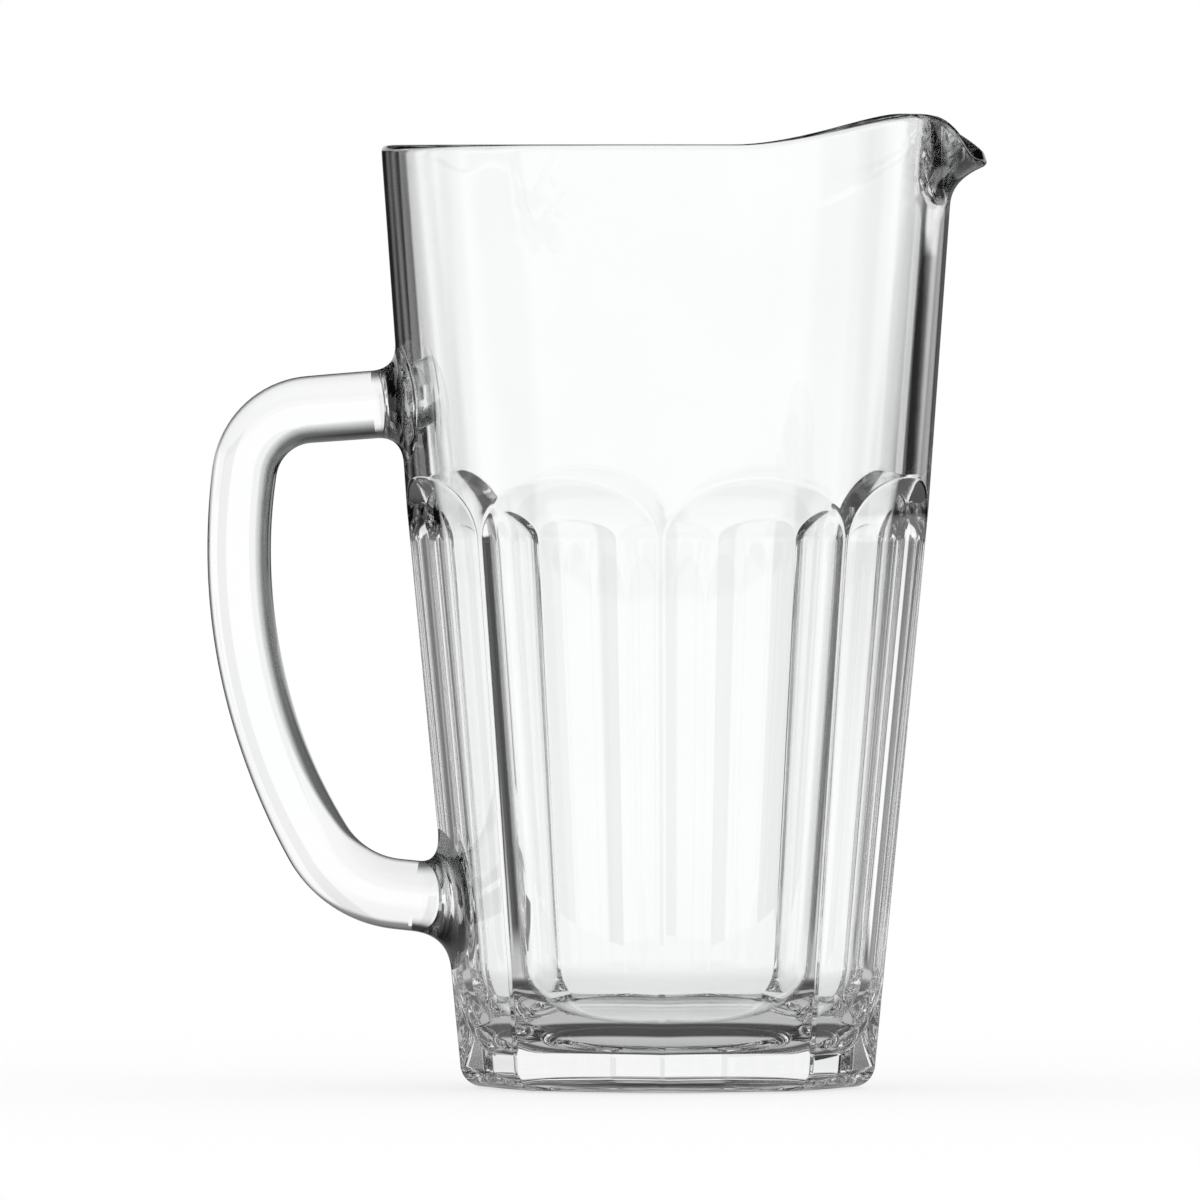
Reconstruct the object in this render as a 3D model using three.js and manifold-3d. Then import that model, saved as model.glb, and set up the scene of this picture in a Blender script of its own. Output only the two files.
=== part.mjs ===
// A clear pressed-glass serving pitcher: a round, tapered vessel with flat panels pressed into its lower wall,
// a pinched pouring lip, and a bent glass handle that two flared collars weld to the wall.
// Millimetres. The pitcher stands on z = 0 with its axis on Z, pours towards +X and is held at -X.
import * as THREE from 'three';
import { mergeVertices } from 'three/addons/utils/BufferGeometryUtils.js';
import Module from 'manifold-3d';

const wasm = await Module();
wasm.setup();

// Vessel
const rimHeight = 226.2;
const rimWall = 4.8;
const rimCornerRadius = 1.3;
const shoulderHeight = 139;
const shoulderRadius = 62.6;
const upperDraft = THREE.MathUtils.degToRad(4.07);
const lowerDraft = THREE.MathUtils.degToRad(5.46);
const footFillet = 5.6;
const floorThickness = 9.7;
const floorWall = 7.6;
const floorCornerRadius = 21.5;

// Pressed panels
const panelCount = 8;
const ridgeLand = 1.6;
const panelTop = 131.4;
const panelRunOutRadius = 29;

// Pouring lip
const earRise = 7.4;
const earStart = THREE.MathUtils.degToRad(75);
const earFull = THREE.MathUtils.degToRad(29.5);
const lipHalfAngle = THREE.MathUtils.degToRad(26);
const lipChannelHalfAngle = THREE.MathUtils.degToRad(19);
const lipReach = 9.7;
const lipDrop = 10.3;
const lipDropSharpness = 1.35;
const lipWall = 3.2;
const lipBendDepth = 14.5;
const lipBendShare = 0.7;

// Handle
const fingerGap = 33.7;
const gripHeight = 128.9;
const gripRadius = 140;
const gripThickness = 15.2;
const gripWidth = 18.4;
const gripSquareness = 2.6;
const armSwellLength = 60;
const upperArmHeight = 164.3;
const upperArmThickness = 16.3;
const upperArmTilt = THREE.MathUtils.degToRad(-4.4);
const upperBendRadius = 17;
const lowerArmHeight = 45.1;
const lowerArmThickness = 17;
const lowerArmTilt = THREE.MathUtils.degToRad(6);
const lowerBendRadius = 25;

// Collars
const upperCollarLength = 6.2;
const upperCollarFlare = 6.8;
const lowerCollarLength = 7;
const lowerCollarFlare = 8.2;
const collarEdge = 0.6;
const weldGap = 0.3;

// Fineness of the facets
const stepsAround = 96;
const stepsInPanelRunOut = 20;
const stepsInBend = 8;
const stepsInCorner = 5;
const stepsInFloorCorner = 9;
const rowAboveArches = 1;
const stepsAlongHandle = 40;
const stepsAroundHandle = 20;
const stepsAroundCollar = 32;

const clamp = THREE.MathUtils.clamp;
const smooth = (share) => THREE.MathUtils.smoothstep(share, 0, 1);

// Skins rings of points into a closed solid. A ring of one point is a pole, and the rings climb the outside.
function skin(rings) {
  const points = [];
  const starts = rings.map((ring) => points.push(...ring) - ring.length);
  const faces = [];
  for (let row = 0; row + 1 < rings.length; row += 1) {
    const lower = rings[row];
    const upper = rings[row + 1];
    const steps = Math.max(lower.length, upper.length);
    for (let step = 0; step < steps; step += 1) {
      const next = (step + 1) % steps;
      const a = starts[row] + step % lower.length;
      const b = starts[row] + next % lower.length;
      const c = starts[row + 1] + next % upper.length;
      const d = starts[row + 1] + step % upper.length;
      if (lower.length > 1) faces.push(a, b, c);
      if (upper.length > 1) faces.push(a, c, d);
    }
  }
  const geometry = new THREE.BufferGeometry().setFromPoints(points);
  geometry.setIndex(faces);
  return geometry;
}

// Turns a geometry into a solid that can be cut.
function solidOf(geometry) {
  const bare = geometry.clone();
  bare.deleteAttribute('normal');
  bare.deleteAttribute('uv');
  const merged = mergeVertices(bare, 1e-4);
  return new wasm.Manifold(new wasm.Mesh({
    numProp: 3,
    vertProperties: merged.attributes.position.array,
    triVerts: new Uint32Array(merged.index.array),
  }));
}

// Turns a cut solid back into a geometry.
function geometryOf(solid) {
  const mesh = solid.getMesh();
  const geometry = new THREE.BufferGeometry();
  geometry.setAttribute('position', new THREE.BufferAttribute(mesh.vertProperties, 3));
  geometry.setIndex(new THREE.BufferAttribute(mesh.triVerts, 1));
  return geometry;
}

// Outer and inner walls
const lerp = THREE.MathUtils.lerp;
const upperSlope = Math.tan(upperDraft);
const lowerSlope = Math.tan(lowerDraft);
const rimRadius = shoulderRadius + upperSlope * (rimHeight - shoulderHeight);
const baseRadius = shoulderRadius - lowerSlope * shoulderHeight;
const cavityFloorRadius = baseRadius + lowerSlope * floorThickness - floorWall;
const cavitySlope = (rimRadius - rimWall - cavityFloorRadius) / (rimHeight - floorThickness);
const outerRadius = (z) => (z > shoulderHeight
  ? shoulderRadius + upperSlope * (z - shoulderHeight)
  : baseRadius + lowerSlope * z);
const innerRadius = (z) => cavityFloorRadius + cavitySlope * (z - floorThickness);

// The round between a level face and the wall that leans out from it, as points from the face to the wall.
function cornerArc(radiusAtLevel, level, slope, radius, steps) {
  const lean = Math.atan(slope);
  const reach = radius * Math.tan((Math.PI / 2 - lean) / 2);
  const centre = new THREE.Vector2(radiusAtLevel - reach, level + radius);
  const arc = [];
  for (let step = 0; step <= steps; step += 1) {
    const angle = lerp(-Math.PI / 2, -lean, step / steps);
    arc.push(new THREE.Vector2(centre.x + radius * Math.cos(angle), centre.y + radius * Math.sin(angle)));
  }
  return arc;
}

const footArc = cornerArc(baseRadius, 0, lowerSlope, footFillet, stepsInCorner);
const floorArc = cornerArc(cavityFloorRadius, floorThickness, cavitySlope, floorCornerRadius, stepsInFloorCorner);

// Panels: each is a flat that leaves a narrow land at the ridges, leans with the wall and runs out of it in an arch.
const panelDepth = (radius) => radius * Math.cos(Math.PI / panelCount - ridgeLand / (2 * radius));

// The middle line of a panel, and the centre of the round in which it runs out.
function panelLine(grow) {
  const atBase = panelDepth(baseRadius) + grow;
  const slope = (panelDepth(shoulderRadius) + grow - atBase) / shoulderHeight;
  const lean = Math.atan(slope);
  const atTop = atBase + slope * panelTop;
  const centre = new THREE.Vector2(
    atTop + panelRunOutRadius * Math.cos(lean),
    panelTop - panelRunOutRadius * Math.sin(lean),
  );
  return { atBase, atTop, slope, lean, centre };
}

// The height at which the middle of an arch leaves the round wall.
function archHeight() {
  const wallWay = new THREE.Vector2(upperSlope, 1).normalize();
  const toCentre = panelLine(0).centre.sub(new THREE.Vector2(shoulderRadius, shoulderHeight));
  const halfChord = Math.sqrt(panelRunOutRadius ** 2 - toCentre.cross(wallWay) ** 2);
  return shoulderHeight + wallWay.y * (toCentre.dot(wallWay) + halfChord);
}

const archTop = archHeight() + rowAboveArches;

// The middle of the wall near the rim, from the foot of the lip's bend to the rim's edge. The rim rises to an ear
// at each side of the lip, and between the ears the wall bends outwards and its edge drops to the lip's tip. The
// channel inside the lip is narrower than its outside, so that the glass is thick at both sides of the channel.
function rimCurve(angle) {
  const off = Math.abs(angle);
  const rise = earRise * smooth((earStart - off) / (earStart - earFull));
  const bentWithin = (halfAngle) => Math.cos(Math.PI / 2 * clamp(off / halfAngle, 0, 1)) ** 2;
  const bend = bentWithin(lipHalfAngle);
  const fill = lipReach * (bend - bentWithin(lipChannelHalfAngle));
  const middle = (z) => new THREE.Vector2((outerRadius(z) + innerRadius(z)) / 2, z);
  const footHeight = rimHeight - lipBendDepth;
  const foot = middle(footHeight);
  const straightEdge = middle(rimHeight + rise);
  const edge = new THREE.Vector2(
    straightEdge.x + lipReach * bend - fill / 2,
    straightEdge.y - lipDrop * bend ** lipDropSharpness,
  );
  const turn = middle(lerp(footHeight, edge.y, lipBendShare));
  return {
    curve: new THREE.QuadraticBezierCurve(foot, turn, edge),
    footWall: outerRadius(footHeight) - innerRadius(footHeight),
    edgeWall: lerp(rimWall, lipWall, bend) + fill,
  };
}

// The closed half-section of the vessel at one angle around its axis, from the middle of the underside, up the
// outside, over the rim and down the inside to the middle of the floor.
function sectionAt(angle) {
  const { curve, footWall, edgeWall } = rimCurve(angle);
  const outside = [];
  const inside = [];
  const length = curve.getLength();
  const last = 1 - rimCornerRadius / length;
  for (let step = 0; step <= stepsInBend; step += 1) {
    const share = curve.getUtoTmapping(last * step / stepsInBend);
    const point = curve.getPoint(share);
    const along = curve.getTangent(share);
    const half = lerp(footWall, edgeWall, step / stepsInBend) / 2;
    outside.push(new THREE.Vector2(point.x + along.y * half, point.y - along.x * half));
    inside.push(new THREE.Vector2(point.x - along.y * half, point.y + along.x * half));
  }
  const edge = curve.getPoint(1);
  const along = curve.getTangent(1);
  const across = new THREE.Vector2(along.y, -along.x);
  const flat = edgeWall / 2 - rimCornerRadius;
  const rim = [];
  for (const side of [1, -1]) {
    for (let step = 1; step < 4; step += 1) {
      const turn = side > 0 ? step / 3 : 1 - (step - 1) / 3;
      const round = new THREE.Vector2()
        .addScaledVector(across, side * (flat + rimCornerRadius * Math.cos(turn * Math.PI / 2)))
        .addScaledVector(along, rimCornerRadius * (Math.sin(turn * Math.PI / 2) - 1));
      rim.push(round.add(edge));
    }
  }
  return [
    new THREE.Vector2(0, 0),
    ...footArc,
    new THREE.Vector2(shoulderRadius, shoulderHeight),
    new THREE.Vector2(outerRadius(archTop), archTop),
    ...outside,
    ...rim,
    ...inside.reverse(),
    ...[...floorArc].reverse(),
    new THREE.Vector2(0, floorThickness),
  ];
}

const onAxisCircle = (step) => 2 * Math.PI * step / stepsAround;
const spun = (point, angle) => new THREE.Vector3(
  point.x * Math.cos(angle),
  point.x * Math.sin(angle),
  point.y,
);

function plainVessel() {
  const sections = [];
  for (let step = 0; step < stepsAround; step += 1) {
    const angle = onAxisCircle(step);
    sections.push(sectionAt(Math.atan2(Math.sin(angle), Math.cos(angle))).map((point) => spun(point, angle)));
  }
  const last = sections[0].length - 1;
  const rings = sections[0].map((_, row) => (row === 0 || row === last
    ? [sections[0][row]]
    : sections.map((section) => section[row])));
  return solidOf(skin(rings));
}

// Cuts one panel, which turns in at the foot with the same round as the ridges.
function panelCutter(index, grow) {
  const below = -footFillet;
  const { atBase, atTop, slope, lean, centre } = panelLine(grow);
  const foot = cornerArc(atBase, 0, slope, footFillet, stepsInCorner);
  const clear = rimRadius + panelRunOutRadius;
  const outline = new THREE.Shape();
  outline.moveTo(clear, below);
  outline.lineTo(foot[0].x, below);
  foot.forEach((point) => outline.lineTo(point.x, point.y));
  outline.lineTo(atTop, panelTop);
  outline.absarc(centre.x, centre.y, panelRunOutRadius, Math.PI - lean, Math.PI / 2, true);
  outline.lineTo(clear, centre.y + panelRunOutRadius);
  outline.closePath();
  const width = 2 * shoulderRadius * Math.tan(Math.PI / panelCount) + panelRunOutRadius;
  const cutter = new THREE.ExtrudeGeometry(outline, {
    depth: width,
    bevelEnabled: false,
    curveSegments: stepsInPanelRunOut,
  });
  cutter.translate(0, 0, -width / 2);
  cutter.rotateX(Math.PI / 2);
  cutter.rotateZ(2 * Math.PI * (index + 0.5) / panelCount);
  return solidOf(cutter);
}

function pressPanels(solid, grow) {
  let pressed = solid;
  for (let index = 0; index < panelCount; index += 1) {
    pressed = pressed.subtract(panelCutter(index, grow));
  }
  return pressed;
}

// The vessel's outside as one filled solid, grown by the gap that the welded collars keep.
function grownOutside(grow) {
  const profile = [
    new THREE.Vector2(0, -grow),
    new THREE.Vector2(outerRadius(0) + grow, -grow),
    new THREE.Vector2(shoulderRadius + grow, shoulderHeight),
    new THREE.Vector2(rimRadius + grow, rimHeight),
    new THREE.Vector2(0, rimHeight),
  ];
  const filled = new THREE.LatheGeometry(profile, stepsAround);
  filled.rotateX(Math.PI / 2);
  return pressPanels(solidOf(filled), grow);
}

// Handle path, in the X-Z plane: an arm, a bend, the long bowed grip, a bend and an arm.
function armLine(height, tilt) {
  const start = new THREE.Vector2(-outerRadius(height), height);
  const out = new THREE.Vector2(-Math.cos(tilt), Math.sin(tilt));
  return { start, out };
}

const upperArm = armLine(upperArmHeight, upperArmTilt);
const lowerArm = armLine(lowerArmHeight, lowerArmTilt);
const gripReach = outerRadius(gripHeight) + fingerGap + gripThickness / 2;
const gripCentre = new THREE.Vector2(gripRadius - gripReach, gripHeight);

// The bend between an arm and the bowed grip: a circle that touches the arm's line from the grip's inner side and
// lies against the inside of the grip's circle.
function bendCircle(arm, radius, side) {
  const inward = new THREE.Vector2(arm.out.y, -arm.out.x).multiplyScalar(side);
  const origin = arm.start.clone().addScaledVector(inward, radius);
  const toOrigin = origin.clone().sub(gripCentre);
  const along = toOrigin.dot(arm.out);
  const apart = gripRadius - radius;
  const reach = -along + Math.sqrt(along ** 2 - toOrigin.lengthSq() + apart ** 2);
  const centre = origin.clone().addScaledVector(arm.out, reach);
  const armPoint = arm.start.clone().addScaledVector(arm.out, reach);
  const fromGrip = centre.clone().sub(gripCentre).angle();
  const fromArm = armPoint.clone().sub(centre).angle();
  return { centre, radius, armPoint, fromArm, fromGrip };
}

const upperBend = bendCircle(upperArm, upperBendRadius, -1);
const lowerBend = bendCircle(lowerArm, lowerBendRadius, 1);

function arcBetween(centre, radius, from, to) {
  return new THREE.EllipseCurve(centre.x, centre.y, radius, radius, from, to, false);
}

const handlePath = new THREE.CurvePath();
const upperEnd = upperArm.start.clone().addScaledVector(upperArm.out, upperCollarLength + weldGap);
const lowerEnd = lowerArm.start.clone().addScaledVector(lowerArm.out, lowerCollarLength + weldGap);
handlePath.add(new THREE.LineCurve(upperEnd, upperBend.armPoint));
handlePath.add(arcBetween(upperBend.centre, upperBend.radius, upperBend.fromArm, upperBend.fromGrip));
handlePath.add(arcBetween(gripCentre, gripRadius, upperBend.fromGrip, lowerBend.fromGrip));
handlePath.add(arcBetween(lowerBend.centre, lowerBend.radius, lowerBend.fromGrip, lowerBend.fromArm));
handlePath.add(new THREE.LineCurve(lowerBend.armPoint, lowerEnd));

// One ring of the handle's section, `across` in the plane of the handle and the Y axis for its width. A squareness
// of 2 is an ellipse, and more makes it squarer.
function sectionRing(centre, across, thickness, width, squareness, steps) {
  const ring = [];
  const power = 2 / squareness;
  for (let step = 0; step < steps; step += 1) {
    const angle = 2 * Math.PI * step / steps;
    const cosine = Math.cos(angle);
    const sine = Math.sin(angle);
    const u = Math.sign(cosine) * Math.abs(cosine) ** power * thickness / 2;
    const v = Math.sign(sine) * Math.abs(sine) ** power * width / 2;
    ring.push(new THREE.Vector3(centre.x + across.x * u, v, centre.y + across.y * u));
  }
  return ring;
}

// The grip is a rounded bar, wider than it is thick, and its arms swell into round ends.
function handleSolid() {
  const rings = [];
  const length = handlePath.getLength();
  for (let step = 0; step <= stepsAlongHandle; step += 1) {
    const share = step / stepsAlongHandle;
    const centre = handlePath.getPointAt(share);
    const along = handlePath.getTangentAt(share);
    const across = new THREE.Vector2(along.y, -along.x);
    const toEnd = Math.min(share, 1 - share) * length;
    const grip = smooth(toEnd / armSwellLength);
    const arm = share < 0.5 ? upperArmThickness : lowerArmThickness;
    rings.push(sectionRing(
      centre,
      across,
      lerp(arm, gripThickness, grip),
      lerp(arm, gripWidth, grip),
      lerp(2, gripSquareness, grip),
      stepsAroundHandle,
    ));
  }
  const cap = (point) => [new THREE.Vector3(point.x, 0, point.y)];
  return skin([cap(upperEnd), ...rings, cap(lowerEnd)]);
}

// How far a line along an arm, shifted sideways, runs from the arm's start before it meets the pressed outside.
function wallAlong(arm, up, side) {
  const lift = new THREE.Vector2(-arm.out.y, arm.out.x).multiplyScalar(-up);
  const from = new THREE.Vector3(arm.start.x + lift.x, side, arm.start.y + lift.y);
  const into = new THREE.Vector3(-arm.out.x, 0, -arm.out.y);
  const inside = (travel) => {
    const point = from.clone().addScaledVector(into, travel);
    const radius = Math.hypot(point.x, point.y);
    const wall = outerRadius(point.z);
    if (radius > wall) return false;
    if (point.z > panelTop) return true;
    const sector = 2 * Math.PI / panelCount;
    const angle = Math.atan2(point.y, point.x);
    const offPanel = angle - sector * (Math.floor(angle / sector) + 0.5);
    return radius * Math.cos(offPanel) < panelDepth(wall);
  };
  let near = -gripReach;
  let far = baseRadius;
  for (let halving = 0; halving < 40; halving += 1) {
    const middle = (near + far) / 2;
    if (inside(middle)) far = middle;
    else near = middle;
  }
  return far;
}

// A collar flares from the round end of an arm to the wall, all around, and is cut to sit on the wall.
function collarSolid(arm, thickness, length, flare, outside) {
  const up = new THREE.Vector2(arm.out.y, -arm.out.x);
  const place = (reach, angle, travel) => {
    const lift = reach * Math.cos(angle);
    const side = -reach * Math.sin(angle);
    return new THREE.Vector3(
      arm.start.x + up.x * lift - arm.out.x * travel,
      side,
      arm.start.y + up.y * lift - arm.out.y * travel,
    );
  };
  const bar = thickness / 2;
  const foot = bar + flare;
  const stepsInFlare = stepsInCorner + 1;
  const rings = [[place(0, 0, -length)]];
  const flareRing = (share) => {
    const ring = [];
    for (let step = 0; step < stepsAroundCollar; step += 1) {
      const angle = 2 * Math.PI * step / stepsAroundCollar;
      const wallAtBar = wallAlong(arm, bar * Math.cos(angle), bar * Math.sin(angle)) - collarEdge;
      const wallAtFoot = wallAlong(arm, foot * Math.cos(angle), foot * Math.sin(angle)) - collarEdge;
      const edge = new THREE.QuadraticBezierCurve(
        new THREE.Vector2(bar, -length),
        new THREE.Vector2(bar, wallAtBar),
        new THREE.Vector2(foot, wallAtFoot),
      );
      const point = edge.getPoint(share);
      ring.push(place(point.x, angle, point.y));
    }
    return ring;
  };
  for (let step = 0; step <= stepsInFlare; step += 1) {
    rings.push(flareRing(step / stepsInFlare));
  }
  const sunk = 3 * foot * Math.tan(Math.PI / panelCount);
  const sunkRing = [];
  for (let step = 0; step < stepsAroundCollar; step += 1) {
    sunkRing.push(place(foot, 2 * Math.PI * step / stepsAroundCollar, sunk));
  }
  rings.push(sunkRing, [place(0, 0, sunk)]);
  return geometryOf(solidOf(skin(rings)).subtract(outside));
}

// Assembly
const pitcher = new THREE.Group();
const outside = grownOutside(weldGap);

function addPiece(name, geometry, colour, roughness) {
  geometry.computeVertexNormals();
  const material = new THREE.MeshStandardMaterial({ color: colour, roughness, metalness: 0 });
  const mesh = new THREE.Mesh(geometry, material);
  mesh.name = name;
  pitcher.add(mesh);
}

addPiece('pitcher_body', geometryOf(pressPanels(plainVessel(), 0)), 0xeef1f0, 0.04);
addPiece(
  'upper_handle_collar',
  collarSolid(upperArm, upperArmThickness, upperCollarLength, upperCollarFlare, outside),
  0xe4e9e8,
  0.06,
);
addPiece(
  'lower_handle_collar',
  collarSolid(lowerArm, lowerArmThickness, lowerCollarLength, lowerCollarFlare, outside),
  0xe4e9e8,
  0.06,
);
addPiece('handle', handleSolid(), 0xeaeeed, 0.05);

export default pitcher;
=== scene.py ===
import math

import bmesh
import bpy
import numpy as np
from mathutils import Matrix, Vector


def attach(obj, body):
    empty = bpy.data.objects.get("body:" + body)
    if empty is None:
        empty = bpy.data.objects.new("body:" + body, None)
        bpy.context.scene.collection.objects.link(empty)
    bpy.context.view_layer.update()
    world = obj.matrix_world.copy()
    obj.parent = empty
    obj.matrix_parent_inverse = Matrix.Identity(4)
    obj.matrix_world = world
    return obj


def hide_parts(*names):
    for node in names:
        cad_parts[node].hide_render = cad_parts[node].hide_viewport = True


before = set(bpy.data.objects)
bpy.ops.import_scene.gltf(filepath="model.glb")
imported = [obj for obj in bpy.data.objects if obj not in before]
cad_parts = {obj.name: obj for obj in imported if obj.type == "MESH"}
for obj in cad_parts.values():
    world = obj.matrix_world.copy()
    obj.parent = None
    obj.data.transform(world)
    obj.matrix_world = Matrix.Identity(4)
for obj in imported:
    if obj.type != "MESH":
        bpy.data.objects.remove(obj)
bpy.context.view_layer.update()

mm = 0.001
print("frame loaded:", [node["name"] if isinstance(node, dict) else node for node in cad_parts])


class Wire:
    # one socket of a node tree: arithmetic on it adds Math nodes
    def __init__(self, tree, socket=None):
        self.tree, self.socket = tree, socket

    def node(self, kind, settings=(), inputs=(), out=0):
        made = self.tree.nodes.new(kind)
        for name, value in dict(settings).items():
            setattr(made, name, value)
        for key, value in dict(inputs).items():
            if isinstance(value, Wire):
                self.tree.links.new(value.socket, made.inputs[key])
            else:
                made.inputs[key].default_value = value
        return Wire(self.tree, made.outputs[out] if len(made.outputs) else None)

    def out(self, name):
        return Wire(self.tree, self.socket.node.outputs[name])

    def maths(self, operation, first, second=0.0):
        return self.node("ShaderNodeMath", {"operation": operation}, {0: first, 1: second})

    def __add__(self, other):
        return self.maths("ADD", self, other)

    def __sub__(self, other):
        return self.maths("SUBTRACT", self, other)

    def __rsub__(self, other):
        return self.maths("SUBTRACT", other, self)

    def __mul__(self, other):
        return self.maths("MULTIPLY", self, other)

    def __truediv__(self, other):
        return self.maths("DIVIDE", self, other)

    def __rtruediv__(self, other):
        return self.maths("DIVIDE", other, self)

    __radd__ = __add__
    __rmul__ = __mul__

    def least(self, other):
        return self.maths("MINIMUM", self, other)

    def most(self, other):
        return self.maths("MAXIMUM", self, other)

    def step(self, low, high):
        # smooth rise from 0 at low to 1 at high
        return self.node("ShaderNodeMapRange", {"interpolation_type": "SMOOTHSTEP"},
                         {"Value": self, "From Min": low, "From Max": high})


def emptyTree(owner):
    # the cleared node tree of a material or a world
    owner.use_nodes = True
    owner.node_tree.nodes.clear()
    return Wire(owner.node_tree)


# the camera stands far back, a little above the rim, as the photograph shows
viewpoint = {
    "distance": 6.7,
    "azimuth": 1.5,  # degrees towards the lip
    "height": 0.226,
    "aimAcross": -0.01625,
    "aimHeight": 0.1169,
    "frameWidth": 0.288,  # seen across the frame at the vessel's axis
    "sensor": 36.0,
    "farClip": 50.0,
}


def addCamera():
    turn = math.radians(viewpoint["azimuth"])
    right = Vector((math.cos(turn), math.sin(turn), 0.0))
    place = Vector((math.sin(turn), -math.cos(turn), 0.0)) * viewpoint["distance"]
    place.z = viewpoint["height"]
    aim = right * viewpoint["aimAcross"]
    aim.z = viewpoint["aimHeight"]
    data = bpy.data.cameras.new("photo_camera")
    data.sensor_width = viewpoint["sensor"]
    data.lens = viewpoint["sensor"] * viewpoint["distance"] / viewpoint["frameWidth"]
    data.clip_end = viewpoint["farClip"]
    camera = bpy.data.objects.new("photo_camera", data)
    camera.location = place
    camera.rotation_euler = (aim - place).to_track_quat("-Z", "Y").to_euler()
    bpy.context.scene.collection.objects.link(camera)
    bpy.context.scene.camera = camera


addCamera()
print("camera placed")


# glass

glassLook = {
    "ior": 1.52,
    "tint": (0.992, 0.997, 0.995, 1.0),
    "tintDeep": (0.982, 0.992, 0.988, 1.0),
    "tintPatch": (0.35, 0.7),
    "wave": (34.0, 1.0, 0.3),  # scale, detail and roughness of a noise
    "ripple": (160.0, 2.0, 0.5),
    "waveShare": 0.9,
    "rippleShare": 0.1,
    "waveHeight": 0.00002,
    "drawnWave": 0.6,  # drawn glass is smoother than pressed glass
    "polish": (0.0, 0.012),  # roughness of a clean and of a handled patch
    "handledPatch": (0.56, 0.8),
    # painted shade on the glass's edges: a dark glass mixed in towards grazing angles
    "edgeShadeTint": (0.02, 0.022, 0.021, 1.0),
    "grazingShade": (0.62, 0.97),  # where the painted edge shade starts, towards grazing angles
    "collarEdgeShade": 0.45,  # painted edge shade starts earlier on the weld collars, and on the lip
    "lipEdgeShade": 0.4,
    "lipStart": (0.0605, 0.065),
    "lipFoot": (0.213, 0.2185),
    "swirl": (130.0, 0.5, 0.4),  # wrinkles of the pinched lip
    "swirlTwist": 1.5,
    "swirlHeight": 28.0,
    "handleEdgeShade": 0.12,
    "innerSideShade": 0.5,  # painted shade added on the handle's side towards the vessel
    "innerSide": (0.15, 0.5),
}


def noise(place, size, twist=0.0):
    scale, detail, roughness = size
    return place.node("ShaderNodeTexNoise", {"noise_dimensions": "3D"}, {
        "Vector": place, "Scale": scale, "Detail": detail, "Roughness": roughness, "Distortion": twist})


def glassMaterial(name, waveHeight, edgeShadeShift=0.0, pinched=False, mark=None):
    material = bpy.data.materials.new(name)
    start = emptyTree(material)
    place = start.node("ShaderNodeTexCoord").out("Object")
    wave = noise(place, glassLook["wave"])
    ripple = noise(place, glassLook["ripple"])
    skin = wave * glassLook["waveShare"] + ripple * glassLook["rippleShare"]
    if pinched:
        parts = start.node("ShaderNodeSeparateXYZ", (), {0: place})
        atLip = parts.out("X").step(*glassLook["lipStart"]) * parts.out("Z").step(*glassLook["lipFoot"])
        swirl = noise(place, glassLook["swirl"], glassLook["swirlTwist"])
        skin = skin + swirl * atLip * glassLook["swirlHeight"]
        # the lip gets painted edge shade
        edgeShadeShift = atLip * glassLook["lipEdgeShade"]
    if mark:
        # painted shade on the handle's side towards the vessel, from its own mark
        inner = start.node("ShaderNodeAttribute", {"attribute_name": mark}).out("Fac")
        edgeShadeShift = inner.step(*glassLook["innerSide"]) * glassLook["innerSideShade"] + edgeShadeShift
    bump = start.node("ShaderNodeBump", (), {"Height": skin, "Distance": waveHeight, "Strength": 1.0})
    handled = ripple.step(*glassLook["handledPatch"])
    clean, worn = glassLook["polish"]
    polish = clean + handled * (worn - clean)
    tint = start.node("ShaderNodeMix", {"data_type": "RGBA"}, {
        "Factor": wave.step(*glassLook["tintPatch"]),
        6: glassLook["tint"], 7: glassLook["tintDeep"]}, out=2)
    glass = start.node("ShaderNodeBsdfPrincipled", (), {
        "Base Color": tint, "Roughness": polish, "IOR": glassLook["ior"],
        "Transmission Weight": 1.0, "Normal": bump})
    # dark glass mixed in at grazing angles: painted edge shade
    edgeShadeGlass = start.node("ShaderNodeBsdfPrincipled", (), {
        "Base Color": glassLook["edgeShadeTint"], "Roughness": 0.0, "IOR": glassLook["ior"],
        "Transmission Weight": 1.0})
    facing = start.node("ShaderNodeLayerWeight", (), {"Blend": 0.5, "Normal": bump}).out("Facing")
    grazingShade = (facing + edgeShadeShift).step(*glassLook["grazingShade"])
    mixed = start.node("ShaderNodeMixShader", (), {0: grazingShade, 1: glass, 2: edgeShadeGlass})
    start.node("ShaderNodeOutputMaterial", (), {"Surface": mixed})
    return material


def weldMaterial():
    # two glass faces fused together: light passes as if there were no face
    material = bpy.data.materials.new("fused_face")
    start = emptyTree(material)
    face = start.node("ShaderNodeBsdfPrincipled", (), {
        "Base Color": glassLook["tint"], "Roughness": 0.0, "Alpha": 0.0})
    start.node("ShaderNodeOutputMaterial", (), {"Surface": face})
    return material


pressedGlass = glassMaterial("pressed_glass", glassLook["waveHeight"], pinched=True)
drawnWave = glassLook["waveHeight"] * glassLook["drawnWave"]
drawnGlass = glassMaterial("drawn_handle_glass", drawnWave, glassLook["handleEdgeShade"], mark="inner_side")
collarGlass = glassMaterial("collar_glass", drawnWave, glassLook["collarEdgeShade"])
fusedFace = weldMaterial()
print("glass ready")


# vessel, in millimetres

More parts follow.
